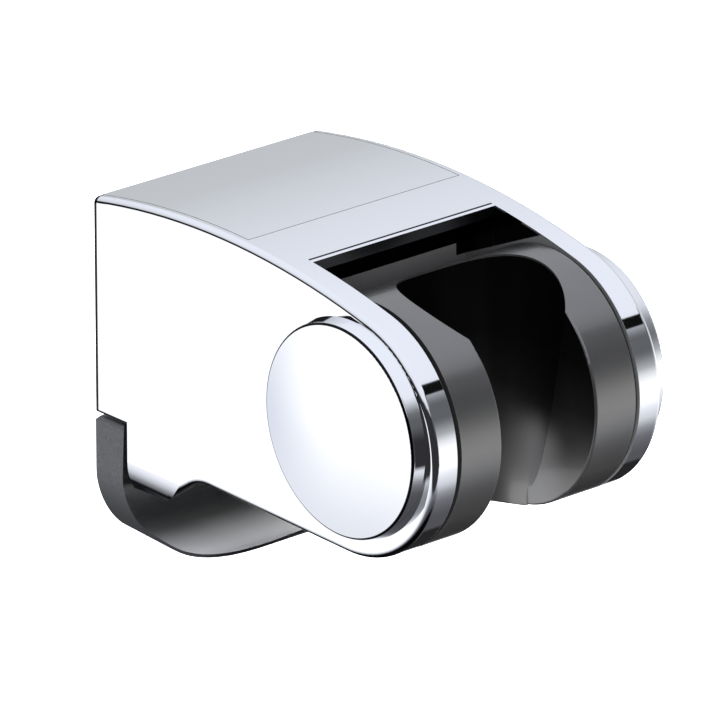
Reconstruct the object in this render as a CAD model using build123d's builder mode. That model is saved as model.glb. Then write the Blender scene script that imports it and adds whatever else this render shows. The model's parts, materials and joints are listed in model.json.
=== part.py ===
from build123d import *
from math import asin, atan2, cos, radians, sin, sqrt
import os

os.makedirs("parts", exist_ok=True)

# Millimetres. Reach is measured forward from the wall, rise upward from the top of the rear notch.
# The origin is the middle of the housing's rear face, on the wall, with the front towards -Y.

# How far a cut runs past the surface that it opens
overshoot = 1.0

# Housing outline, seen from the side
body_width = 46.0
back_height = 35.2
top_radius = 148.5
nose_radius = 19.6
pivot_reach = 59.5
pivot_rise = 14.25
belly_reach = 24.4
belly_drop = 4.55
belly_round = 8.0
notch_depth = 7.7
foot_length = 8.6
foot_drop = 10.9
foot_lift = 0.5
flank_radius = 8.5
flank_drop = 6.3
edge_round = 1.0
rear_round = 0.4

# Bay between the cheeks
cheek = 4.6
bay_gap = 0.6
lip_overhang = 6.4
lip_thickness = 2.0
lip_chamfer = 0.3

# Hollow behind the bay, with the cover that closes it
side_wall = 3.0
cavity_reach = 33.2
cavity_floor = 3.0
belly_wall = 2.2
belly_pocket_reach = 15.5
cover_reach = 34.7
cover_thickness = 2.0
cover_inset = 1.7
cover_gap = 0.12
hook_reach = 15.0
hook_length = 9.0
hook_thickness = 1.6
hook_depth = 8.0
hook_barb = 0.6
barb_height = 1.6
barb_gap = 0.15

# Cradle and its seat for the shower's cone
side_gap = 0.35
cradle_round = 0.5
seat_offset = 4.3
seat_top_radius = 13.0
seat_bottom_radius = 9.1
slot_width = 18.9
slot_round = 0.4
stop_radius = 12.0
stop_pin_radius = 1.0
stop_height = 1.0
stop_root = 1.0
stop_gap = 0.2
tilt_back = 15.0
tilt_forward = 40.0

# Friction pivot, the same on both sides
disc_radius = 7.9
disc_seat = 0.6
disc_gap = 0.1
insert_radius = 3.6
insert_length = 4.6
thread_radius = 2.0
thread_gap = 0.03
thread_length = 4.2
shoulder_radius = 3.0
pivot_fit = 0.05
bush_radius = 4.0
bush_gap = 0.03
bush_flange_radius = 6.5
bush_flange = 0.8
washer_radius = 6.0
washer_thickness = 0.4
washer_height = 0.9
washer_gap = 0.05
head_radius = 4.6
head_height = 1.7
socket_radius = 1.7
socket_depth = 1.1

# Caps over the pivot recesses
cap_reach = 60.2
cap_rise = 15.3
cap_radius = 16.85
cap_rim = 2.5
cap_draft = 0.4
cap_dome = 0.8
cap_wall = 1.1
cap_round = 0.45
recess_radius = 15.4
recess_depth = 2.2
skirt_wall = 1.2
skirt_length = 1.9
skirt_gap = 0.05

# Plate on the wall
plate_width = 30.0
plate_height = 28.0
plate_thickness = 2.0
plate_round = 2.0
screw_spacing = 17.0
screw_hole_radius = 2.3
screw_head_radius = 3.7
flange_length = 8.5
flange_height = 10.0
peg_reach = 6.0
peg_rise = 20.0
peg_radius = 1.5
peg_length = 7.0
peg_gap = 0.15
tongue_width = 12.0
tongue_drop = 10.2
window_width = 6.0
window_height = 3.4
window_drop = 8.7

# Release lever
lever_leg = 6.8
lever_gap = 0.8
lever_drop = 17.0
lever_bend = 7.3
lever_reach = 37.0
lever_tip_drop = 11.4
lever_flat_reach = 18.0
lever_flat_drop = 17.6
lever_plate = 0.6
lever_tip = 0.35
lever_tip_lean = 0.15
hollow_reach = 13.2
hollow_lift = 0.4
hollow_drop = 9.6
leg_taper = 0.4
lever_side_gap = 0.1
lever_corner = 17.0
lever_bow = 1.2
lever_bow_radius = 60.0
lever_bevel = 0.6
lever_travel = 3.5
tongue_gap = 0.4
latch_width = 5.2
latch_height = 2.6
latch_grip = 0.6
latch_root = 0.5
pin_reach = 4.4
pin_rise = 4.8
pin_radius = 1.0
pin_hole_gap = 0.03
pin_fit = 0.05
pin_length = 9.0
ear_radius = 1.8
ear_width = 4.0
ear_centre = 10.0
ear_gap = 0.35
lug_width = 1.8
lug_radius = 2.1
lug_root = 1.5
spring_rise = -4.9
spring_radius = 2.2
spring_wire = 0.3
spring_turns = 5
spring_seat = 3.9
spring_pocket = 5.3
spring_pocket_gap = 0.25

notch_top = -back_height / 2
half_width = body_width / 2
cheek_face = half_width - cheek
cradle_half = cheek_face - side_gap
recess_floor = half_width - recess_depth
bay_rear = pivot_reach - nose_radius - bay_gap
lip_reach = bay_rear + lip_overhang
cover_half = half_width - cover_inset
cavity_half = half_width - side_wall
nose_front = pivot_reach + nose_radius
plate_rise = back_height / 2

side = Plane(origin=(0, 0, notch_top), x_dir=(0, -1, 0), z_dir=(-1, 0, 0))
front = Plane(origin=(0, 0, notch_top), x_dir=(1, 0, 0), z_dir=(0, -1, 0))


def place(x, reach, rise):
    return (x, -reach, notch_top + rise)


def axis_plane(sign, reach, rise):
    """A plane through a crosswise axis: its x is the radius and its y the distance from the middle plane."""
    return Plane(origin=place(0, reach, rise), x_dir=(0, 0, 1), z_dir=(0, sign, 0))


def crosswise(sign, reach, rise, distance):
    """A plane square to X, at a distance from the middle, that looks outwards on its side."""
    return Plane(origin=place(sign * distance, reach, rise), x_dir=(0, -sign, 0), z_dir=(sign, 0, 0))


# The top arc starts at the rear edge and runs smoothly into the nose
nose_centre = Vector(pivot_reach, pivot_rise)
top_rear = Vector(0, back_height)
rear_to_nose = nose_centre - top_rear
span = rear_to_nose.length
along = (top_radius**2 - (top_radius - nose_radius) ** 2 + span**2) / (2 * span)
across = sqrt(top_radius**2 - along**2)
top_centre = top_rear + rear_to_nose * (along / span)
top_centre += Vector(rear_to_nose.Y, -rear_to_nose.X) * (across / span)
crest = top_centre + Vector(0, top_radius)
top_contact = top_centre + (nose_centre - top_centre).normalized() * top_radius

# The belly is a straight line that leaves the nose smoothly
belly = Vector(belly_reach, -belly_drop)
belly_to_nose = nose_centre - belly
belly_angle = atan2(belly_to_nose.Y, belly_to_nose.X) - asin(nose_radius / belly_to_nose.length)
belly_length = sqrt(belly_to_nose.length**2 - nose_radius**2)
under_contact = belly + Vector(cos(belly_angle), sin(belly_angle)) * belly_length
foot_front = Vector(notch_depth + foot_length, foot_lift - foot_drop)
foot_rear = Vector(notch_depth, -foot_drop)


def top_band(reach, thickness):
    """Sketch of the shell under the top arc, from the wall to the given reach."""
    with BuildSketch(side) as band:
        with Locations((top_centre.X, top_centre.Y)):
            Circle(top_radius)
            Circle(top_radius - thickness, mode=Mode.SUBTRACT)
        with Locations((0, back_height)):
            Rectangle(reach, back_height, align=(Align.MIN, Align.CENTER), mode=Mode.INTERSECT)
    return band


with BuildPart() as housing:
    with BuildSketch(side):
        with BuildLine():
            Line((0, 0), top_rear)
            ThreePointArc(top_rear, crest, top_contact)
            ThreePointArc(top_contact, nose_centre + Vector(nose_radius, 0), under_contact)
            FilletPolyline(under_contact, belly, foot_front, radius=belly_round)
            Polyline(foot_front, foot_rear, (notch_depth, 0), (0, 0))
        make_face()
    extrude(amount=half_width, both=True)
    flanks = faces().sort_by(Axis.X)
    outline = flanks[0].edges() + flanks[-1].edges()
    shown = outline.filter_by(lambda e: e.center().Y < -notch_depth - 0.1)
    shown = shown.filter_by(lambda e: e.center().Z > notch_top - belly_drop - edge_round)
    fillet(shown, edge_round)
    rear_edges = edges().filter_by(Axis.Z).filter_by(lambda e: abs(e.center().Y) < rear_round)
    fillet(rear_edges, rear_round)

    # The foot draws in towards its lower edge
    for sign in (-1, 1):
        with BuildSketch(front.offset(notch_depth - overshoot)):
            inset = flank_radius - sqrt(flank_radius**2 - (foot_drop - flank_drop) ** 2)
            upper = (sign * half_width, -flank_drop)
            lower = (sign * (half_width - inset), -foot_drop)
            outer = sign * (half_width + overshoot)
            under = -foot_drop - overshoot
            with BuildLine():
                RadiusArc(upper, lower, sign * flank_radius)
                Polyline(lower, (lower[0], under), (outer, under), (outer, upper[1]), upper)
            make_face()
        extrude(amount=belly_reach, mode=Mode.SUBTRACT)

    # Bay for the cradle, open above, in front and below, under a lip at its rear
    bay_height = 2 * (crest.Y + overshoot)
    with BuildSketch(side):
        with Locations((lip_reach, 0)):
            Rectangle(nose_front - lip_reach + overshoot, bay_height, align=(Align.MIN, Align.CENTER))
    extrude(amount=cheek_face, both=True, mode=Mode.SUBTRACT)
    with BuildSketch(side):
        with Locations((bay_rear, 0)):
            Rectangle(lip_overhang, bay_height, align=(Align.MIN, Align.CENTER))
        with Locations((top_centre.X, top_centre.Y)):
            Circle(top_radius - lip_thickness, mode=Mode.INTERSECT)
    extrude(amount=cheek_face, both=True, mode=Mode.SUBTRACT)

    # Hollow behind the bay, open to the wall and to the cover's seat
    with BuildSketch(side):
        with Locations((0, cavity_floor)):
            Rectangle(cavity_reach, 2 * back_height, align=(Align.MIN, Align.MIN))
        with Locations((belly_pocket_reach, belly_wall - belly_drop)):
            pocket_height = cavity_floor + belly_drop - belly_wall
            Rectangle(cavity_reach - belly_pocket_reach, pocket_height, align=(Align.MIN, Align.MIN))
    extrude(amount=cavity_half, both=True, mode=Mode.SUBTRACT)
    extrude(top_band(cover_reach, cover_thickness).sketch, amount=cover_half, both=True, mode=Mode.SUBTRACT)

    # Grooves that the barbs of the cover's legs snap into
    barb_rise = back_height - cover_thickness - hook_depth
    with Locations(place(0, hook_reach + hook_length / 2, barb_rise + barb_height / 2)):
        Box(
            2 * (cavity_half + hook_barb + barb_gap),
            hook_length + 2 * barb_gap,
            barb_height + 2 * barb_gap,
            mode=Mode.SUBTRACT,
        )

    # Cross pegs that hang in the flanges of the wall plate
    for sign in (-1, 1):
        with BuildSketch(crosswise(sign, peg_reach, peg_rise, cavity_half - peg_length)):
            Circle(peg_radius)
        extrude(amount=peg_length + side_wall / 2)

    # Lugs for the lever's pins, on the floor of the hollow
    for centre in (-ear_centre, ear_centre):
        for lug in (-1, 1):
            lug_middle = centre + lug * (ear_width / 2 + ear_gap + lug_width / 2)
            with BuildSketch(side.offset(-lug_middle)):
                with Locations((pin_reach, pin_rise)):
                    Circle(lug_radius)
                with Locations((pin_reach, cavity_floor - lug_root)):
                    Rectangle(2 * lug_radius, pin_rise - cavity_floor + lug_root, align=(Align.CENTER, Align.MIN))
            extrude(amount=lug_width / 2, both=True)
        with BuildSketch(side.offset(-centre)):
            with Locations((pin_reach, pin_rise)):
                Circle(pin_radius + pin_hole_gap)
        extrude(amount=pin_length, both=True, mode=Mode.SUBTRACT)

        # Slot in the floor for the lever's ear, with room for its travel
        slot_front = pin_reach + ear_radius + pin_rise * sin(radians(lever_travel)) + ear_gap
        slot_rear = pin_reach - ear_radius - ear_gap
        with Locations(place(centre, (slot_front + slot_rear) / 2, cavity_floor / 2)):
            Box(ear_width + 2 * ear_gap, slot_front - slot_rear, 2 * cavity_floor, mode=Mode.SUBTRACT)

    # Slot in the floor for the tongue of the wall plate
    with Locations(place(0, 0, cavity_floor / 2)):
        Box(tongue_width + 2 * ear_gap, 2 * (plate_thickness + ear_gap), 2 * cavity_floor, mode=Mode.SUBTRACT)

    # Blind pocket in the foot for the lever's spring
    with BuildSketch(front.offset(notch_depth)):
        with Locations((0, spring_rise)):
            Circle(spring_radius + spring_wire + spring_pocket_gap)
    extrude(amount=spring_pocket, mode=Mode.SUBTRACT)

    for sign in (-1, 1):
        # Round recess under the cap, and the pivot bore through the web that is left
        with BuildSketch(crosswise(sign, cap_reach, cap_rise, recess_floor)):
            Circle(recess_radius)
        extrude(amount=2 * recess_depth, mode=Mode.SUBTRACT)
        with BuildSketch(crosswise(sign, pivot_reach, pivot_rise, cheek_face - overshoot)):
            Circle(bush_radius + bush_gap)
        extrude(amount=cheek + overshoot, mode=Mode.SUBTRACT)

        # Curved groove for the cradle's stop pin
        with BuildSketch(side.offset(-sign * cheek_face)):
            with BuildLine():
                sweep_angle = tilt_forward + tilt_back
                groove = stop_pin_radius + stop_gap
                rim = CenterArc(nose_centre, stop_radius + groove, 180 - tilt_forward, sweep_angle)
                inner_rim = CenterArc(nose_centre, stop_radius - groove, 180 - tilt_forward, sweep_angle)
                for end in (0, 1):
                    middle = (rim @ end + inner_rim @ end) / 2
                    beyond = middle + (rim % end) * groove * (2 * end - 1)
                    ThreePointArc(rim @ end, beyond, inner_rim @ end)
            make_face()
        extrude(amount=-sign * (stop_height + stop_gap), mode=Mode.SUBTRACT)

    lip_edge = edges().filter_by(Axis.X).filter_by(lambda e: abs(e.center().Y + lip_reach) < 0.01)
    chamfer(lip_edge.sort_by(Axis.Z)[-1], lip_chamfer)
housing.part.label = "housing"
export_step(housing.part, "parts/housing.step")


with BuildPart() as rear_top_cover:
    extrude(
        top_band(cover_reach - cover_gap, cover_thickness - cover_gap / 2).sketch,
        amount=cover_half - cover_gap,
        both=True,
    )
    for sign in (-1, 1):
        leg_outer = sign * (cavity_half - barb_gap)
        leg_inner = leg_outer - sign * hook_thickness
        top = crest.Y - cover_thickness / 2
        with BuildSketch(front.offset(hook_reach + barb_gap)):
            with BuildLine():
                Polyline(
                    (leg_inner, top),
                    (leg_outer, top),
                    (leg_outer, barb_rise + barb_height),
                    (leg_outer + sign * hook_barb, barb_rise + barb_height),
                    (leg_outer + sign * hook_barb, barb_rise + barb_height / 2),
                    (leg_outer, barb_rise),
                    (leg_inner, barb_rise),
                    close=True,
                )
            make_face()
        extrude(amount=hook_length - 2 * barb_gap)
rear_top_cover.part.label = "rear_top_cover"
export_step(rear_top_cover.part, "parts/rear_top_cover.step")


with BuildPart() as cradle:
    with BuildSketch(side):
        with Locations((pivot_reach, pivot_rise)):
            Circle(nose_radius)
    extrude(amount=cradle_half, both=True)
    fillet(edges().filter_by(GeomType.CIRCLE), cradle_round)

    # Conical seat, open top and bottom, and the slot that the hose passes through
    seat_reach = pivot_reach + seat_offset
    with Locations(place(0, seat_reach, pivot_rise)):
        Cone(seat_bottom_radius, seat_top_radius, 2 * nose_radius, mode=Mode.SUBTRACT)
    with BuildSketch(front.offset(seat_reach)):
        with Locations((0, pivot_rise)):
            Rectangle(slot_width, 2 * (nose_radius + overshoot))
    extrude(amount=nose_radius, mode=Mode.SUBTRACT)
    jaw_edges = edges().filter_by(lambda e: abs(abs(e.center().X) - slot_width / 2) < 0.01)
    jaw_edges = jaw_edges.filter_by(lambda e: e.center().Y < -seat_reach - nose_radius / 3)
    fillet(jaw_edges.sort_by(SortBy.LENGTH)[-2:], slot_round)

    for sign in (-1, 1):
        # Seat of the friction disc and socket of the threaded insert
        disc_floor = cradle_half - disc_seat
        with BuildSketch(crosswise(sign, pivot_reach, pivot_rise, disc_floor)):
            Circle(disc_radius + disc_gap)
        extrude(amount=2 * disc_seat, mode=Mode.SUBTRACT)
        with BuildSketch(crosswise(sign, pivot_reach, pivot_rise, disc_floor)):
            Circle(insert_radius + thread_gap)
        extrude(amount=-insert_length, mode=Mode.SUBTRACT)

        # Stop pin that runs in the groove of the cheek
        with BuildSketch(crosswise(sign, pivot_reach - stop_radius, pivot_rise, cradle_half - stop_root)):
            Circle(stop_pin_radius)
        extrude(amount=stop_root + side_gap + stop_height)
cradle.part.label = "cradle"
export_step(cradle.part, "parts/cradle.step")


def turned(sign, reach, rise, outline):
    """A piece turned about a crosswise axis, from (radius, distance from the middle) points."""
    section = axis_plane(sign, reach, rise)
    with BuildPart() as piece:
        with BuildSketch(section):
            with BuildLine():
                Polyline(*outline, close=True)
            make_face()
        revolve(axis=Axis(section.origin, section.y_dir))
    return piece


# Distances from the middle plane of what is stacked on each pivot
disc_inner = cradle_half - disc_seat
flange_outer = recess_floor + bush_flange
head_inner = flange_outer + washer_height
head_outer = head_inner + head_height
cap_underside = half_width + cap_rim - cap_wall

for name, sign in (("left", -1), ("right", 1)):
    insert_end = disc_inner - insert_length
    insert = turned(sign, pivot_reach, pivot_rise, [
        (thread_radius + thread_gap, insert_end),
        (insert_radius, insert_end),
        (insert_radius, disc_inner),
        (thread_radius + thread_gap, disc_inner),
    ])
    insert.part.label = f"{name}_insert"
    export_step(insert.part, f"parts/{name}_insert.step")

    friction_disc = turned(sign, pivot_reach, pivot_rise, [
        (shoulder_radius + pivot_fit, disc_inner),
        (disc_radius, disc_inner),
        (disc_radius, cheek_face),
        (shoulder_radius + pivot_fit, cheek_face),
    ])
    friction_disc.part.label = f"{name}_friction_disc"
    export_step(friction_disc.part, f"parts/{name}_friction_disc.step")

    pivot_bush = turned(sign, pivot_reach, pivot_rise, [
        (shoulder_radius + pivot_fit, cheek_face),
        (bush_radius, cheek_face),
        (bush_radius, recess_floor),
        (bush_flange_radius, recess_floor),
        (bush_flange_radius, flange_outer),
        (shoulder_radius + pivot_fit, flange_outer),
    ])
    pivot_bush.part.label = f"{name}_pivot_bush"
    export_step(pivot_bush.part, f"parts/{name}_pivot_bush.step")

    spring_washer = turned(sign, pivot_reach, pivot_rise, [
        (shoulder_radius + pivot_fit, head_inner - washer_thickness),
        (washer_radius, flange_outer + washer_gap),
        (washer_radius, flange_outer + washer_gap + washer_thickness),
        (shoulder_radius + pivot_fit, head_inner),
    ])
    spring_washer.part.label = f"{name}_spring_washer"
    export_step(spring_washer.part, f"parts/{name}_spring_washer.step")

    with BuildPart() as pivot_screw:
        section = axis_plane(sign, pivot_reach, pivot_rise)
        thread_end = disc_inner - thread_length
        with BuildSketch(section):
            with BuildLine():
                Polyline(
                    (0, thread_end),
                    (thread_radius - thread_gap, thread_end),
                    (thread_radius - thread_gap, disc_inner),
                    (shoulder_radius, disc_inner),
                    (shoulder_radius, head_inner),
                    (head_radius, head_inner),
                    (head_radius, head_outer),
                    (0, head_outer),
                    close=True,
                )
            make_face()
        revolve(axis=Axis(section.origin, section.y_dir))
        with BuildSketch(crosswise(sign, pivot_reach, pivot_rise, head_outer)):
            RegularPolygon(socket_radius, 6)
        extrude(amount=-socket_depth, mode=Mode.SUBTRACT)
    pivot_screw.part.label = f"{name}_pivot_screw"
    export_step(pivot_screw.part, f"parts/{name}_pivot_screw.step")

    with BuildPart() as cap:
        section = axis_plane(sign, cap_reach, cap_rise)
        skirt_outer = recess_radius - skirt_gap
        skirt_inner = skirt_outer - skirt_wall
        rim_top = half_width + cap_rim
        with BuildSketch(section):
            with BuildLine():
                dome_radius = (cap_radius**2 + cap_dome**2) / (2 * cap_dome)
                dome = RadiusArc((0, rim_top + cap_dome), (cap_radius - cap_round, rim_top), dome_radius)
                RadiusArc(dome @ 1, (cap_radius, rim_top - cap_round), cap_round)
                Polyline(
                    (cap_radius, rim_top - cap_round),
                    (cap_radius + cap_draft, half_width),
                    (skirt_outer, half_width),
                    (skirt_outer, half_width - skirt_length),
                    (skirt_inner, half_width - skirt_length),
                    (skirt_inner, cap_underside),
                    (0, cap_underside),
                    (0, rim_top + cap_dome),
                )
            make_face()
        revolve(axis=Axis(section.origin, section.y_dir))
    cap.part.label = f"{name}_cap"
    export_step(cap.part, f"parts/{name}_cap.step")


with BuildPart() as wall_plate:
    with BuildSketch(front):
        with Locations((0, plate_rise)):
            RectangleRounded(plate_width, plate_height, plate_round)
        with Locations((0, -tongue_drop)):
            Rectangle(tongue_width, tongue_drop + plate_rise, align=(Align.CENTER, Align.MIN))
        with Locations((0, window_height / 2 - window_drop)):
            Rectangle(window_width, window_height, mode=Mode.SUBTRACT)
    extrude(amount=plate_thickness)
    for sign in (-1, 1):
        flange_x = sign * (plate_width / 2 - plate_thickness / 2)
        flange_top = peg_rise + flange_height / 2
        with BuildSketch(side.offset(-flange_x)):
            with Locations((0, peg_rise)):
                Rectangle(plate_thickness + flange_length, flange_height, align=(Align.MIN, Align.CENTER))
            with Locations((peg_reach, peg_rise)):
                Circle(peg_radius + peg_gap, mode=Mode.SUBTRACT)
                Rectangle(2 * (peg_radius + peg_gap), flange_height, align=(Align.CENTER, Align.MIN),
                          mode=Mode.SUBTRACT)
        extrude(amount=plate_thickness / 2, both=True)
    with Locations(Plane(origin=place(0, plate_thickness, plate_rise), x_dir=(1, 0, 0), z_dir=(0, -1, 0))):
        with GridLocations(0, screw_spacing, 1, 2):
            CounterSinkHole(screw_hole_radius, screw_head_radius)
wall_plate.part.label = "wall_plate"
export_step(wall_plate.part, "parts/wall_plate.step")


with BuildPart() as release_lever:
    lever_half = half_width - lever_side_gap
    outer_flat = Vector(lever_flat_reach, -lever_flat_drop)
    inner_flat = outer_flat + Vector(0, lever_plate)
    tip_outer = Vector(lever_reach, -lever_tip_drop)
    tip_inner = tip_outer + Vector(-lever_tip_lean, lever_tip)
    with BuildSketch(side):
        with BuildLine():
            Line((0, -lever_gap), (0, lever_bend - lever_drop))
            heel = TangentArc((0, lever_bend - lever_drop), (lever_bend, -lever_drop), tangent=(0, -1))
            sole = Line(heel @ 1, outer_flat)
            TangentArc(outer_flat, tip_outer, tangent=sole % 1)
            Line(tip_outer, tip_inner)
            curl = TangentArc(inner_flat, tip_inner, tangent=sole % 1)
            inner_sole = Line(inner_flat, (hollow_reach, inner_flat.Y + hollow_lift))
            hollow = TangentArc(inner_sole @ 1, (lever_leg - leg_taper, -hollow_drop), tangent=inner_sole % 1)
            Polyline(hollow @ 1, (lever_leg, -lever_gap), (0, -lever_gap))
        make_face()
    extrude(amount=lever_half, both=True)
    chamfer(edges().group_by(Axis.Z)[-1], lever_bevel)

    # The tongue's corners are rounded in plan
    with BuildSketch(Plane.XY.offset(notch_top - lever_drop - overshoot)):
        with BuildLine():
            FilletPolyline(
                (-lever_half, overshoot),
                (-lever_half, lever_bow - lever_reach),
                (0, -lever_reach),
                (lever_half, lever_bow - lever_reach),
                (lever_half, overshoot),
                radius=[lever_corner, lever_bow_radius, lever_corner],
            )
            Line((-lever_half, overshoot), (lever_half, overshoot))
        make_face()
    extrude(amount=lever_drop + 2 * overshoot, mode=Mode.INTERSECT)

    # Recess for the tongue of the wall plate, with the latch left standing in it
    recess_width = tongue_width + 2 * tongue_gap
    recess_reach = plate_thickness + tongue_gap
    recess_drop = tongue_drop + tongue_gap
    with Locations(place(0, recess_reach / 2, -recess_drop / 2)):
        Box(recess_width, recess_reach, recess_drop, mode=Mode.SUBTRACT)
    latch_middle = window_height / 2 - window_drop
    latch_front = recess_reach + latch_root
    latch_rear = plate_thickness - latch_grip
    with Locations(place(0, (latch_front + latch_rear) / 2, latch_middle)):
        Box(latch_width, latch_front - latch_rear, latch_height)

    # Blind pocket for the spring
    with BuildSketch(front.offset(spring_seat)):
        with Locations((0, spring_rise)):
            Circle(spring_radius + spring_wire + spring_pocket_gap)
    extrude(amount=lever_leg, mode=Mode.SUBTRACT)

    # Ears that turn on the pins
    for centre in (-ear_centre, ear_centre):
        with BuildSketch(side.offset(-centre)):
            with Locations((pin_reach, pin_rise)):
                Circle(ear_radius)
            with Locations((pin_reach, -lever_gap - lever_bevel)):
                Rectangle(2 * ear_radius, pin_rise + lever_gap + lever_bevel, align=(Align.CENTER, Align.MIN))
            with Locations((pin_reach, pin_rise)):
                Circle(pin_radius + pin_fit, mode=Mode.SUBTRACT)
        extrude(amount=ear_width / 2, both=True)
release_lever.part.label = "release_lever"
export_step(release_lever.part, "parts/release_lever.step")


for name, centre in (("left", -ear_centre), ("right", ear_centre)):
    with BuildPart() as lever_pin:
        with BuildSketch(side.offset(-centre)):
            with Locations((pin_reach, pin_rise)):
                Circle(pin_radius)
        extrude(amount=pin_length / 2, both=True)
    lever_pin.part.label = f"{name}_lever_pin"
    export_step(lever_pin.part, f"parts/{name}_lever_pin.step")


with BuildPart() as lever_spring:
    spring_length = notch_depth + spring_pocket - spring_seat - 2 * spring_wire
    spring_start = Vector(place(0, spring_seat + spring_wire, spring_rise))
    with BuildLine():
        pitch = spring_length / spring_turns
        coil = Helix(pitch, spring_length, spring_radius, center=spring_start, direction=(0, -1, 0))
    with BuildSketch(Plane(origin=coil @ 0, z_dir=coil % 0)):
        Circle(spring_wire)
    sweep(is_frenet=True)
lever_spring.part.label = "lever_spring"
export_step(lever_spring.part, "parts/lever_spring.step")
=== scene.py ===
import bpy
import json
from math import cos, pi, radians, sin, tan
from mathutils import Matrix, Vector


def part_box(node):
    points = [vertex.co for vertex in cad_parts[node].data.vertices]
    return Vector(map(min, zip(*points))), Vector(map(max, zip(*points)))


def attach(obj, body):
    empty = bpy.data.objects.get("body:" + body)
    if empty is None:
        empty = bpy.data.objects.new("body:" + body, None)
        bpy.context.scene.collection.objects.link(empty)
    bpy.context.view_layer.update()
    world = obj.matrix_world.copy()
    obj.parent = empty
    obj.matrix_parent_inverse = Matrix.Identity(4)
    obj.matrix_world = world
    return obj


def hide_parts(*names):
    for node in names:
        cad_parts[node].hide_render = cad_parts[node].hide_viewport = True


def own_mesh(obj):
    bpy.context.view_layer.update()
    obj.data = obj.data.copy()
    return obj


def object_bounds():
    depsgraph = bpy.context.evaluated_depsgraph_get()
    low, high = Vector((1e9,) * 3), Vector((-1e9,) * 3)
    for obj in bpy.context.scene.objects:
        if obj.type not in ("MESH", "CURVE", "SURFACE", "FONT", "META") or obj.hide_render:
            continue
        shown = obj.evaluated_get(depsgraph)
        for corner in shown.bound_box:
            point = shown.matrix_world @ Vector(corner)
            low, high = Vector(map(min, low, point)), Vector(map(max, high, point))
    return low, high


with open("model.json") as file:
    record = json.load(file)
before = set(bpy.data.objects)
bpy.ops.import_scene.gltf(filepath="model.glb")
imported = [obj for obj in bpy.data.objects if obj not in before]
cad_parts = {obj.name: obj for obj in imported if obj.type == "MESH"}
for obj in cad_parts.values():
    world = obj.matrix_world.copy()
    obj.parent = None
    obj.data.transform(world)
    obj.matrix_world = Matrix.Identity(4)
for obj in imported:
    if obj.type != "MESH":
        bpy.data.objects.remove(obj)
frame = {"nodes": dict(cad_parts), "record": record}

nodes = frame["nodes"]
cadLow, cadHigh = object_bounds()
print("frame loaded:", len(nodes), "nodes")


# Small helpers for node trees

def addNode(tree, kind, inputs=None, **settings):
    node = tree.nodes.new(kind)
    for name, value in settings.items():
        setattr(node, name, value)
    for name, value in (inputs or {}).items():
        if isinstance(value, bpy.types.NodeSocket):
            tree.links.new(value, node.inputs[name])
        else:
            node.inputs[name].default_value = value
    return node


def maths(tree, operation, first, second=0.0):
    return addNode(tree, "ShaderNodeMath", {0: first, 1: second}, operation=operation).outputs[0]


def vectors(tree, operation, first, second):
    return addNode(tree, "ShaderNodeVectorMath", {0: first, 1: second}, operation=operation).outputs


def axes(tree, vector):
    return addNode(tree, "ShaderNodeSeparateXYZ", {0: vector}).outputs


def rampNode(tree, factor, stops):
    node = addNode(tree, "ShaderNodeValToRGB", {"Fac": factor})
    elements = node.color_ramp.elements
    while len(elements) < len(stops):
        elements.new(0.5)
    for element, (place, colour) in zip(elements, stops):
        element.position = place
        element.color = (*colour, 1.0)
    return node.outputs["Color"]


# An empty material with a Principled shader and object coordinates
def newMaterial(name, look):
    material = bpy.data.materials.new(name)
    material.use_nodes = True
    tree = material.node_tree
    tree.nodes.clear()
    shader = addNode(tree, "ShaderNodeBsdfPrincipled", look)
    addNode(tree, "ShaderNodeOutputMaterial", {"Surface": shader.outputs["BSDF"]})
    place = addNode(tree, "ShaderNodeTexCoord").outputs["Object"]
    return material, tree, shader, place


def feed(tree, shader, values):
    for socket, value in values.items():
        tree.links.new(value, shader.inputs[socket])


def noise(tree, place, scale, detail=2.0, roughness=0.5, stretch=(1.0, 1.0, 1.0)):
    mapping = addNode(tree, "ShaderNodeMapping", {"Vector": place, "Scale": stretch})
    inputs = {"Vector": mapping.outputs[0], "Scale": scale, "Detail": detail, "Roughness": roughness}
    return addNode(tree, "ShaderNodeTexNoise", inputs).outputs["Fac"]


# The usual range of a noise, stretched from low to high
def spread(tree, value, low, high):
    inputs = {"Value": value, "From Min": 0.2, "From Max": 0.8, "To Min": low, "To Max": high}
    return addNode(tree, "ShaderNodeMapRange", inputs).outputs["Result"]


def bump(tree, height, distance, strength=0.5):
    inputs = {"Height": height, "Distance": distance, "Strength": strength}
    return addNode(tree, "ShaderNodeBump", inputs).outputs["Normal"]


# Masks, 0 off and 1 on

# A smooth share, 0 at the first value and 1 at the second
def fade(tree, value, none, full):
    inputs = {"Value": value, "From Min": none, "From Max": full}
    return addNode(tree, "ShaderNodeMapRange", inputs, interpolation_type="SMOOTHSTEP").outputs["Result"]


def above(tree, value, limit):
    return maths(tree, "GREATER_THAN", value, limit)


def below(tree, value, limit):
    return maths(tree, "LESS_THAN", value, limit)


def within(tree, value, low, high):
    return both(tree, above(tree, value, low), below(tree, value, high))


def either(tree, first, *masks):
    for mask in masks:
        first = maths(tree, "MAXIMUM", first, mask)
    return first


def both(tree, first, *masks):
    for mask in masks:
        first = maths(tree, "MULTIPLY", first, mask)
    return first


# One colour where the mask is off and another where it is on
def mixed(tree, mask, off, on):
    mix = addNode(tree, "ShaderNodeMix", {0: mask, 6: off, 7: on}, data_type="RGBA")
    return mix.outputs[2]


# Distance from a crosswise axis through the middle
def fromAxis(tree, place, middle):
    flat = vectors(tree, "MULTIPLY", place, (0.0, 1.0, 1.0))[0]
    return vectors(tree, "DISTANCE", flat, middle)["Value"]


# The surface's outward direction
def outward(tree):
    return axes(tree, addNode(tree, "ShaderNodeNewGeometry").outputs["Normal"])


# Directions, by an azimuth from the front and an elevation, both in radians

def direction(turn, rise):
    return Vector((sin(turn) * cos(rise), -cos(turn) * cos(rise), sin(rise)))


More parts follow.
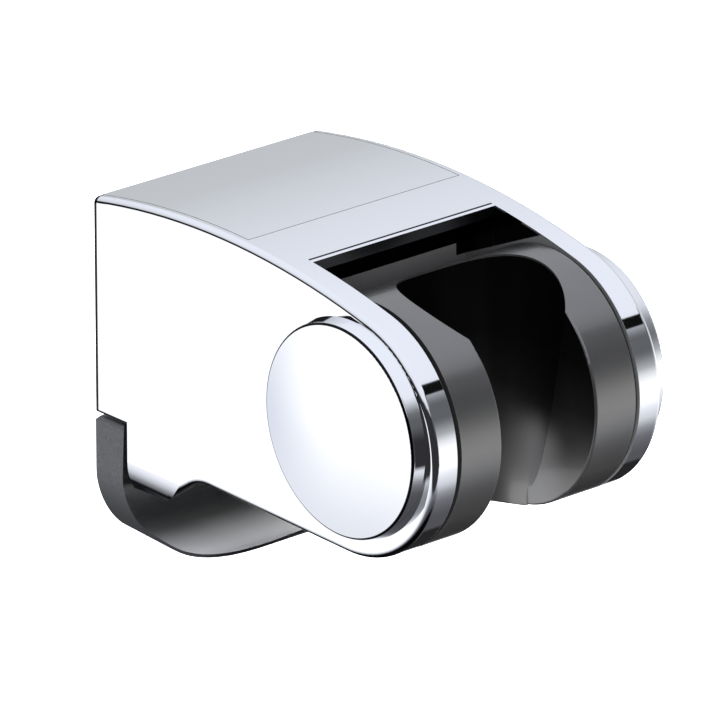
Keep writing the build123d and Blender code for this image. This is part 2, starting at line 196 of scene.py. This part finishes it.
# To the right and up, for a viewer who looks back from that direction
def facingAxes(turn, rise):
    right = Vector((cos(turn), sin(turn), 0.0))
    up = Vector((-sin(turn) * sin(rise), cos(turn) * sin(rise), cos(rise)))
    return right, up


# Camera at the photo's angle, with a long lens

view = {
    "azimuth": -41.1,
    "elevation": 21.49,
    "pixelsWide": 720,
    "distancePixels": 10215.0,
    "metresPerPixel": 0.0001545,
    "aim": (-0.023, 0.0, -0.0176),
    "right": 0.04093,
    "up": 0.00777,
}


def addCamera():
    right, up = facingAxes(radians(view["azimuth"]), radians(view["elevation"]))
    back = right.cross(up)
    data = bpy.data.cameras.new("photoCamera")
    data.sensor_width = 36.0
    data.lens = data.sensor_width * view["distancePixels"] / view["pixelsWide"]
    camera = bpy.data.objects.new("photoCamera", data)
    distance = view["distancePixels"] * view["metresPerPixel"]
    place = Vector(view["aim"]) + right * view["right"] + up * view["up"] + back * distance
    camera.matrix_world = Matrix.Translation(place) @ Matrix((right, up, back)).transposed().to_4x4()
    bpy.context.scene.collection.objects.link(camera)
    bpy.context.scene.camera = camera


addCamera()
print("camera set")


# Studio: a pale room with white and black cards, far away, and a plain pale floor

studio = {
    # height of a direction, from -1 straight down to 1 straight up, and the light that comes from there
    "room": [
        (-1.00, (0.05, 0.05, 0.055)),
        (-0.78, (0.09, 0.09, 0.10)),
        (-0.70, (0.17, 0.17, 0.19)),
        (-0.64, (0.30, 0.31, 0.33)),
        (-0.56, (0.66, 0.68, 0.73)),
        (-0.47, (0.86, 0.88, 0.94)),
        (-0.37, (1.18, 1.18, 1.20)),
        (-0.16, (1.10, 1.10, 1.12)),
        (0.02, (0.54, 0.56, 0.58)),
        (0.20, (0.57, 0.59, 0.61)),
        (0.42, (0.72, 0.75, 0.81)),
        (0.62, (0.84, 0.87, 0.96)),
        (1.00, (0.87, 0.90, 1.00)),
    ],
    # azimuth, elevation, half the width, half the height and soft edge in degrees, and light of each card
    "cards": [
        (-173.0, -18.0, 25.0, 11.0, 6.0, (0.70, 0.74, 0.84)),
        (178.0, -20.0, 17.0, 18.0, 3.0, (0.03, 0.03, 0.034)),
        (140.0, -45.0, 34.0, 13.0, 2.0, (0.02, 0.02, 0.022)),
        (175.0, -52.0, 17.0, 12.0, 2.0, (0.02, 0.02, 0.022)),
        (-135.0, 1.5, 48.0, 11.0, 2.0, (0.01, 0.01, 0.012)),
        (-32.0, -8.0, 62.0, 34.0, 4.0, (0.03, 0.03, 0.034)),
        (40.0, 17.0, 28.0, 13.0, 9.0, (0.12, 0.125, 0.135)),
        (47.0, 32.5, 16.0, 3.4, 0.5, (0.005, 0.005, 0.005)),
    ],
    "floorDrop": 0.3,
    "floorSize": 8.0,
    "floorLook": {
        "Base Color": (0.9, 0.9, 0.9, 1.0),
        "Roughness": 0.9,
        "Emission Color": (1.0, 1.0, 1.0, 1.0),
        "Emission Strength": 0.8,
    },
    # lamps that reflections don't show: azimuth, elevation and breadth in degrees, and strength
    "lamps": {"frontFill": (-36.0, 18.0, 25.0, 2.2), "sideFill": (112.0, 16.0, 20.0, 11.0)},
}


def addCard(tree, look, behind, card):
    turn, rise, halfWidth, halfHeight, soft, colour = card
    turn, rise = radians(turn), radians(rise)
    right, up = facingAxes(turn, rise)
    depth = vectors(tree, "DOT_PRODUCT", look, direction(turn, rise))["Value"]
    mask = above(tree, depth, 0.0)
    for axis, half in ((right, halfWidth), (up, halfHeight)):
        along = vectors(tree, "DOT_PRODUCT", look, axis)["Value"]
        offset = maths(tree, "ABSOLUTE", maths(tree, "DIVIDE", along, depth))
        edge = fade(tree, offset, tan(radians(half + soft)), tan(radians(half - soft)))
        mask = both(tree, mask, edge)
    return mixed(tree, mask, behind, (*colour, 1.0))


def addRoom():
    world = bpy.data.worlds.new("studio")
    bpy.context.scene.world = world
    world.use_nodes = True
    tree = world.node_tree
    tree.nodes.clear()
    look = addNode(tree, "ShaderNodeTexCoord").outputs["Generated"]
    height = axes(tree, look)["Z"]
    # a ramp holds places and lights from 0 to 1, so the room goes in at half its brightness
    stops = [((place + 1.0) / 2.0, [part / 2.0 for part in colour]) for place, colour in studio["room"]]
    share = maths(tree, "ADD", maths(tree, "MULTIPLY", height, 0.5), 0.5)
    light = vectors(tree, "MULTIPLY", rampNode(tree, share, stops), (2.0, 2.0, 2.0))[0]
    for card in studio["cards"]:
        light = addCard(tree, look, light, card)
    seen = addNode(tree, "ShaderNodeLightPath").outputs["Is Camera Ray"]
    lit = addNode(tree, "ShaderNodeBackground", {"Color": light, "Strength": 1.0})
    plain = addNode(tree, "ShaderNodeBackground", {"Color": (1.0, 1.0, 1.0, 1.0), "Strength": 1.0})
    mix = addNode(tree, "ShaderNodeMixShader", {0: seen, 1: lit.outputs[0], 2: plain.outputs[0]})
    addNode(tree, "ShaderNodeOutputWorld", {"Surface": mix.outputs[0]})
    bpy.context.scene.view_settings.view_transform = "Standard"


def addFloor():
    half = studio["floorSize"] / 2.0
    level = cadLow.z - studio["floorDrop"]
    mesh = bpy.data.meshes.new("floor")
    corners = [(-half, -half, level), (half, -half, level), (half, half, level), (-half, half, level)]
    mesh.from_pydata(corners, [], [(0, 1, 2, 3)])
    floor = bpy.data.objects.new("floor", mesh)
    bpy.context.scene.collection.objects.link(floor)
    mesh.materials.append(newMaterial("paleFloor", studio["floorLook"])[0])
    floor.visible_glossy = False


def addLamps():
    for name, (turn, rise, breadth, strength) in studio["lamps"].items():
        data = bpy.data.lights.new(name, "SUN")
        data.energy = strength
        data.angle = radians(breadth)
        lamp = bpy.data.objects.new(name, data)
        lamp.rotation_euler = direction(radians(turn), radians(rise)).to_track_quat("Z", "Y").to_euler()
        lamp.visible_glossy = False
        bpy.context.scene.collection.objects.link(lamp)


addRoom()
addFloor()
addLamps()
print("studio lit")


# Finishes

polish = {
    "smear": (90.0, 3.0, 0.6),  # scale, detail and roughness of the noise
    "roughness": (0.03, 0.055),
    "wave": (70.0, 1.0),
    "waveHeight": 0.00002,
}


def startChrome(name, tint):
    material, tree, shader, place = newMaterial(name, {"Base Color": (*tint, 1.0), "Metallic": 1.0})
    smear = spread(tree, noise(tree, place, *polish["smear"]), *polish["roughness"])
    wave = noise(tree, place, *polish["wave"])
    feed(tree, shader, {"Roughness": smear, "Normal": bump(tree, wave, polish["waveHeight"])})
    return material, tree, shader, place, smear


def polishedChrome(name, tint):
    return startChrome(name, tint)[0]


# Where the housing has a dark seam, painted shade or an unplated panel, in metres
casting = {
    # painted shade: dark inside the bay, below the arc of the top
    "bay": {
        "halfWidth": 0.01843,
        "rear": -0.03925,
        "arcMiddle": (0.0, -0.027763, -0.128282),
        "arcRadius": 0.14816,
    },
    # dark parting line across the top, and beside it the lip, where the painted shade of the bay is paler
    "seam": (-0.04545, -0.0451),
    "lip": (-0.04575, -0.04565),
    # unplated, low on the bay's rear wall and cheeks
    "bare": {"halfWidth": 0.0166, "rear": -0.0395, "top": 0.0114, "slope": 0.453, "start": -0.00842},
    # painted shade: dark at the wall and in the notch above the lever
    "wallEdge": 0.00085,
    "notch": {"depth": 0.0077, "top": -0.01725},
    # painted shade: dark along the belly's sides, and darker low on the foot's sides; the facing values are
    # parts of the normal
    "belly": {"facingDown": (-0.28, -0.36), "facingAside": 0.25, "start": -0.0168},
    "flank": {"facingAside": 0.2, "height": (-0.0239, -0.0282)},
    "tones": {
        # the dark seam, and painted shade inside the bay, along the belly, at the wall and in the notch
        "seamAndShade": (0.014, 0.0145, 0.015, 1.0),
        # painted shade, paler on the lip
        "lip": (0.11, 0.112, 0.116, 1.0),
        "bare": (0.13, 0.13, 0.132, 1.0),
        # painted shade, darker low on the foot's sides
        "flank": (0.36, 0.37, 0.385, 1.0),
    },
    "dullness": 0.3,
}


def castingChrome(name, tint):
    material, tree, shader, place, smear = startChrome(name, tint)
    parts = axes(tree, place)
    across = maths(tree, "ABSOLUTE", parts["X"])
    normal = outward(tree)
    sideways = maths(tree, "ABSOLUTE", normal["X"])
    bay, bare, notch, belly = casting["bay"], casting["bare"], casting["notch"], casting["belly"]
    flank, tones = casting["flank"], casting["tones"]

    between = below(tree, across, bay["halfWidth"])
    ahead = below(tree, parts["Y"], bay["rear"])
    under = below(tree, fromAxis(tree, place, bay["arcMiddle"]), bay["arcRadius"])
    inside = both(tree, between, ahead, under)
    onSeam = both(tree, between, within(tree, parts["Y"], *casting["seam"]))
    onLip = both(tree, inside, within(tree, parts["Y"], *casting["lip"]))

    atWall = above(tree, parts["Y"], -casting["wallEdge"])
    atNotch = both(tree, above(tree, parts["Y"], -notch["depth"]), below(tree, parts["Z"], notch["top"]))
    low = fade(tree, normal["Z"], *belly["facingDown"])
    rounded = both(tree, low, above(tree, sideways, belly["facingAside"]))
    atBelly = both(tree, rounded, below(tree, parts["Y"], belly["start"]))
    onFoot = both(tree, fade(tree, parts["Z"], *flank["height"]), below(tree, parts["Y"], -notch["depth"]))
    onFlank = both(tree, onFoot, above(tree, sideways, flank["facingAside"]))

    middle = both(tree, below(tree, across, bare["halfWidth"]), below(tree, parts["Z"], bare["top"]))
    onRear = both(tree, above(tree, parts["Y"], bare["rear"]), ahead, middle)
    slant = maths(tree, "ADD", parts["Z"], maths(tree, "MULTIPLY", parts["Y"], bare["slope"]))
    besides = both(tree, above(tree, across, bare["halfWidth"]), between, ahead)
    onCheek = both(tree, besides, below(tree, slant, bare["start"]))
    unplated = either(tree, onRear, onCheek)

    # painted shade inside the bay, along the belly, at the wall and in the notch, with the dark seam
    dark = either(tree, inside, onSeam, atBelly, atWall, atNotch)
    # painted shade, darker low on the foot's sides
    withFlankShade = mixed(tree, onFlank, (*tint, 1.0), tones["flank"])
    # painted shade, paler on the lip
    withSeamAndShade = mixed(tree, onLip, mixed(tree, dark, withFlankShade, tones["seamAndShade"]), tones["lip"])
    rough = addNode(tree, "ShaderNodeMix", {0: inside, 2: smear, 3: casting["dullness"]})
    feed(tree, shader, {
        "Base Color": mixed(tree, unplated, withSeamAndShade, tones["bare"]),
        "Metallic": maths(tree, "SUBTRACT", 1.0, unplated),
        "Roughness": rough.outputs[0],
    })
    return material


# Painted shade: a dark ring around the face of each cap
capRing = {
    "middle": (0.0, -0.0602, -0.0023),
    "radius": (0.0164, 0.01652),
    "rim": (0.0252, 0.02526),
    "tone": (0.014, 0.0145, 0.015, 1.0),
}


def capChrome(name, tint):
    material, tree, shader, place, _ = startChrome(name, tint)
    radius = fromAxis(tree, place, capRing["middle"])
    across = maths(tree, "ABSOLUTE", axes(tree, place)["X"])
    ring = both(tree, fade(tree, radius, *capRing["radius"]), fade(tree, across, *capRing["rim"]))
    # painted shade on the ring
    feed(tree, shader, {"Base Color": mixed(tree, ring, (*tint, 1.0), capRing["tone"])})
    return material


# Painted shade makes the cradle darkest high up inside its seat, and a painted highlight gives it a soft pale
# streak low in it
gloss = {
    "look": {"Coat Roughness": 0.05},
    "haze": (60.0, 1.0),
    "tones": [(0.0, (0.185, 0.183, 0.179)), (1.0, (0.235, 0.232, 0.227))],
    "roughness": (0.28, 0.33),
    "metallic": 0.92,
    "coat": 0.3,
    "specular": 0.5,
    "seatMiddle": (0.0, -0.0595, -0.00335),
    "seatRadius": 0.0193,
    # height and share of the tone inside the seat, a painted shade
    "seatShade": [(-0.022, 1.0), (-0.012, 0.75), (-0.004, 0.2), (0.004, 0.07), (0.017, 0.04)],
    # painted shade: a dark band on the cradle's sides next to the cheeks, with its reflections taken away
    "rim": (0.0175, 0.0176),
    "rimShade": (0.05, 0.05, 0.05, 1.0),
    # painted highlight: a soft pale streak low on one side of the seat
    "highlightStreak": {
        "reach": 0.0656,
        "sides": (0.008, 0.0),
        "height": (-0.0055, -0.0120),
        "tone": (0.15, 0.15, 0.15, 1.0),
        "metallicLoss": 0.7,
    },
}


def glossMoulding(name):
    material, tree, shader, place = newMaterial(name, gloss["look"])
    parts = axes(tree, place)
    haze = noise(tree, place, *gloss["haze"])
    inner = below(tree, fromAxis(tree, place, gloss["seatMiddle"]), gloss["seatRadius"])
    # painted shade on the cradle's sides
    rim = fade(tree, maths(tree, "ABSOLUTE", parts["X"]), *gloss["rim"])
    plain = maths(tree, "SUBTRACT", 1.0, rim)

    low, high = gloss["seatShade"][0][0], gloss["seatShade"][-1][0]
    inputs = {"Value": parts["Z"], "From Min": low, "From Max": high}
    share = addNode(tree, "ShaderNodeMapRange", inputs).outputs["Result"]
    stops = [((level - low) / (high - low), (part, part, part)) for level, part in gloss["seatShade"]]
    outer = mixed(tree, rim, (1.0, 1.0, 1.0, 1.0), gloss["rimShade"])
    shade = mixed(tree, inner, outer, rampNode(tree, share, stops))
    shaded = vectors(tree, "MULTIPLY", rampNode(tree, haze, gloss["tones"]), shade)[0]

    # painted highlight low on one side of the seat
    highlightStreak = gloss["highlightStreak"]
    aside = maths(tree, "ABSOLUTE", maths(tree, "ADD", parts["Y"], highlightStreak["reach"]))
    inHighlightStreak = both(tree, fade(tree, aside, *highlightStreak["sides"]), fade(tree, parts["Z"], *highlightStreak["height"]))
    lit = both(tree, inner, above(tree, parts["X"], 0.0), inHighlightStreak)
    metal = maths(tree, "SUBTRACT", gloss["metallic"], maths(tree, "MULTIPLY", lit, highlightStreak["metallicLoss"]))
    feed(tree, shader, {
        "Base Color": mixed(tree, lit, shaded, highlightStreak["tone"]),
        "Metallic": both(tree, metal, plain),
        "Coat Weight": maths(tree, "MULTIPLY", plain, gloss["coat"]),
        "Specular IOR Level": maths(tree, "MULTIPLY", plain, gloss["specular"]),
        "Roughness": spread(tree, haze, *gloss["roughness"]),
    })
    return material


# Painted light makes the lever paler on the inside of its tongue, towards the tip, and painted shade makes it
# darker towards its sole
satin = {
    "speckle": (2600.0, 3.0, 0.7),
    "tones": [(0.3, (0.11, 0.112, 0.115)), (0.7, (0.175, 0.177, 0.18))],
    "roughness": (0.28, 0.38),
    "grain": (3400.0, 2.0, 0.6),
    "grainHeight": 0.00002,
    "metallic": 0.95,
    # painted shade, darker towards the sole
    "sole": (-0.026, -0.0345),
    "soleTone": (0.045, 0.046, 0.048, 1.0),
    # painted light: the upward inside of the tongue is pale
    "tongue": {
        "reach": (-0.0065, -0.0262),
        "facingUp": 0.5,
        "top": -0.0265,
        "tone": (0.97, 0.97, 0.97, 1.0),
        "metallicLoss": 0.9,
    },
}


def satinMoulding(name):
    material, tree, shader, place = newMaterial(name, {})
    parts = axes(tree, place)
    tongue = satin["tongue"]
    speckle = noise(tree, place, *satin["speckle"])
    colour = rampNode(tree, speckle, satin["tones"])
    # painted shade towards the sole
    sole = mixed(tree, fade(tree, parts["Z"], *satin["sole"]), colour, satin["soleTone"])
    facingUp = above(tree, outward(tree)["Z"], tongue["facingUp"])
    onTongue = both(tree, fade(tree, parts["Y"], *tongue["reach"]), below(tree, parts["Z"], tongue["top"]))
    # painted light on the tongue's inside
    pale = both(tree, onTongue, facingUp)
    metal = maths(tree, "SUBTRACT", satin["metallic"], maths(tree, "MULTIPLY", pale, tongue["metallicLoss"]))
    grain = noise(tree, place, *satin["grain"])
    feed(tree, shader, {
        "Base Color": mixed(tree, pale, sole, tongue["tone"]),
        "Metallic": metal,
        "Roughness": spread(tree, speckle, *satin["roughness"]),
        "Normal": bump(tree, grain, satin["grainHeight"]),
    })
    return material


steel = {
    "look": {"Metallic": 1.0, "Anisotropic": 0.4},
    "lines": (900.0, 3.0, 0.6),
    "places": (0.35, 0.65),
    "darker": 0.8,
    "roughness": (0.24, 0.38),
    "lineHeight": 0.00001,
}


def brushedSteel(name, tone, stretch):
    material, tree, shader, place = newMaterial(name, steel["look"])
    lines = noise(tree, place, *steel["lines"], stretch)
    darker = tuple(part * steel["darker"] for part in tone)
    feed(tree, shader, {
        "Base Color": rampNode(tree, lines, list(zip(steel["places"], (darker, tone)))),
        "Roughness": spread(tree, lines, *steel["roughness"]),
        "Normal": bump(tree, lines, steel["lineHeight"]),
    })
    return material


brass = {
    "lines": (1400.0, 2.0, 0.5, (1.0, 0.08, 0.08)),
    "tones": [(0.3, (0.62, 0.45, 0.19)), (0.7, (0.78, 0.6, 0.29))],
    "roughness": (0.2, 0.32),
}


def turnedBrass(name):
    material, tree, shader, place = newMaterial(name, {"Metallic": 1.0})
    lines = noise(tree, place, *brass["lines"])
    rough = spread(tree, lines, *brass["roughness"])
    feed(tree, shader, {"Base Color": rampNode(tree, lines, brass["tones"]), "Roughness": rough})
    return material


acetal = {
    "look": {"IOR": 1.48, "Subsurface Weight": 0.15, "Subsurface Radius": (0.001, 0.001, 0.0008)},
    "cloud": (300.0, 3.0, 0.6),
    "tones": [(0.3, (0.78, 0.78, 0.74)), (0.7, (0.87, 0.87, 0.84))],
    "roughness": (0.32, 0.44),
}


def naturalAcetal(name):
    material, tree, shader, place = newMaterial(name, acetal["look"])
    cloud = noise(tree, place, *acetal["cloud"])
    rough = spread(tree, cloud, *acetal["roughness"])
    feed(tree, shader, {"Base Color": rampNode(tree, cloud, acetal["tones"]), "Roughness": rough})
    return material


finishes = {
    "chromed_casting": castingChrome("chromedCasting", (0.93, 0.94, 0.96)),
    "chromed_cover": polishedChrome("chromedCover", (0.92, 0.93, 0.95)),
    "chromed_cap": capChrome("chromedCap", (0.94, 0.95, 0.97)),
    "dark_gloss_moulding": glossMoulding("darkGlossMoulding"),
    "dark_satin_moulding": satinMoulding("darkSatinMoulding"),
    "stainless_sheet": brushedSteel("stainlessSheet", (0.62, 0.63, 0.64), (1.0, 1.0, 0.05)),
    "spring_steel": brushedSteel("springSteel", (0.5, 0.5, 0.51), (0.2, 0.2, 0.2)),
    "screw_steel": brushedSteel("screwSteel", (0.56, 0.57, 0.58), (1.0, 0.1, 0.1)),
    "brass": turnedBrass("turnedBrass"),
    "white_acetal": naturalAcetal("naturalAcetal"),
}

slotOf = {part["node"]: part["material_slot"] for part in frame["record"]["subparts"]}
for name, node in nodes.items():
    for materialSlot in node.material_slots:
        materialSlot.material = finishes[slotOf[name]]
print("finishes on:", len(finishes))


# Lever spring: a round wire coil with closed ends, built by a rule in Geometry Nodes

spring = {
    "turns": 6.5,
    "coilRadius": 0.0022,
    "wireRadius": 0.0003,
    "closed": 0.16,  # share of the points in each closed end
    "lay": 4.0,  # rise of both closed ends together, in wire radii
    "pointsPerTurn": 40,
    "wireSides": 10,
    "squeeze": 0.915,  # share of the length left at the end of the press
}


# Geometry Nodes tree that winds a wire along +Z
def coilTree():
    tree = bpy.data.node_groups.new("coilWinder", "GeometryNodeTree")
    for name, kind in (("Turns", "Float"), ("Radius", "Float"), ("Wire", "Float"), ("Length", "Float"),
                       ("Closed", "Float"), ("Points", "Int"), ("Sides", "Int"), ("Finish", "Material")):
        tree.interface.new_socket(name, in_out="INPUT", socket_type=f"NodeSocket{kind}")
    tree.interface.new_socket("Geometry", in_out="OUTPUT", socket_type="NodeSocketGeometry")
    given = addNode(tree, "NodeGroupInput").outputs
    line = addNode(tree, "GeometryNodeCurvePrimitiveLine")
    wire = addNode(tree, "GeometryNodeResampleCurve", {"Curve": line.outputs[0], "Count": given["Points"]})
    share = addNode(tree, "GeometryNodeSplineParameter").outputs["Factor"]
    angle = maths(tree, "MULTIPLY", maths(tree, "MULTIPLY", share, given["Turns"]), 2.0 * pi)
    x = maths(tree, "MULTIPLY", maths(tree, "COSINE", angle), given["Radius"])
    y = maths(tree, "MULTIPLY", maths(tree, "SINE", angle), given["Radius"])
    inputs = {
        "Value": share,
        "From Min": given["Closed"],
        "From Max": maths(tree, "SUBTRACT", 1.0, given["Closed"]),
    }
    risen = addNode(tree, "ShaderNodeMapRange", inputs, clamp=True).outputs["Result"]
    taken = maths(tree, "MULTIPLY", given["Wire"], spring["lay"] + 2.0)
    free = maths(tree, "SUBTRACT", given["Length"], taken)
    lay = maths(tree, "MULTIPLY", maths(tree, "MULTIPLY", share, given["Wire"]), spring["lay"])
    z = maths(tree, "ADD", maths(tree, "MULTIPLY", risen, free), lay)
    place = addNode(tree, "ShaderNodeCombineXYZ", {"X": x, "Y": y, "Z": maths(tree, "ADD", z, given["Wire"])})
    inputs = {"Geometry": wire.outputs[0], "Position": place.outputs[0]}
    moved = addNode(tree, "GeometryNodeSetPosition", inputs)
    inputs = {"Resolution": given["Sides"], "Radius": given["Wire"]}
    section = addNode(tree, "GeometryNodeCurvePrimitiveCircle", inputs)
    inputs = {"Curve": moved.outputs[0], "Profile Curve": section.outputs[0], "Fill Caps": True}
    coil = addNode(tree, "GeometryNodeCurveToMesh", inputs)
    smooth = addNode(tree, "GeometryNodeSetShadeSmooth", {0: coil.outputs[0]})
    whole = addNode(tree, "GeometryNodeRealizeInstances", {0: smooth.outputs[0]})
    inputs = {"Geometry": whole.outputs[0], "Material": given["Finish"]}
    done = addNode(tree, "GeometryNodeSetMaterial", inputs)
    addNode(tree, "NodeGroupOutput", {0: done.outputs[0]})
    return tree


# The tree's result as a plain mesh object, placed by a matrix
def grown(name, tree, values, turn):
    carrier = bpy.data.objects.new(name + "Carrier", bpy.data.meshes.new(name + "Carrier"))
    bpy.context.scene.collection.objects.link(carrier)
    modifier = carrier.modifiers.new("winder", "NODES")
    modifier.node_group = tree
    for item in tree.interface.items_tree:
        if item.in_out == "INPUT" and item.name in values:
            modifier[item.identifier] = values[item.name]
    bpy.context.view_layer.update()
    graph = bpy.context.evaluated_depsgraph_get()
    mesh = bpy.data.meshes.new_from_object(carrier.evaluated_get(graph), depsgraph=graph)
    mesh.transform(turn)
    bpy.data.objects.remove(carrier)
    mesh.name = name
    piece = bpy.data.objects.new(name, mesh)
    bpy.context.scene.collection.objects.link(piece)
    return piece


springLow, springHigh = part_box("lever_spring")
springMiddle = (springLow + springHigh) / 2.0
springValues = {
    "Turns": spring["turns"],
    "Radius": spring["coilRadius"],
    "Wire": spring["wireRadius"],
    "Length": springHigh.y - springLow.y,
    "Closed": spring["closed"],
    "Points": int(spring["turns"] * spring["pointsPerTurn"]),
    "Sides": spring["wireSides"],
    "Finish": finishes["spring_steel"],
}
springFoot = Vector((springMiddle.x, springLow.y, springMiddle.z))
springTurn = Matrix.Translation(springFoot) @ Matrix.Rotation(-pi / 2.0, 4, "X")
leverCoil = grown("lever_coil", coilTree(), springValues, springTurn)
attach(leverCoil, "holder")
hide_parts("lever_spring")
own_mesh(leverCoil)
print("spring wound")
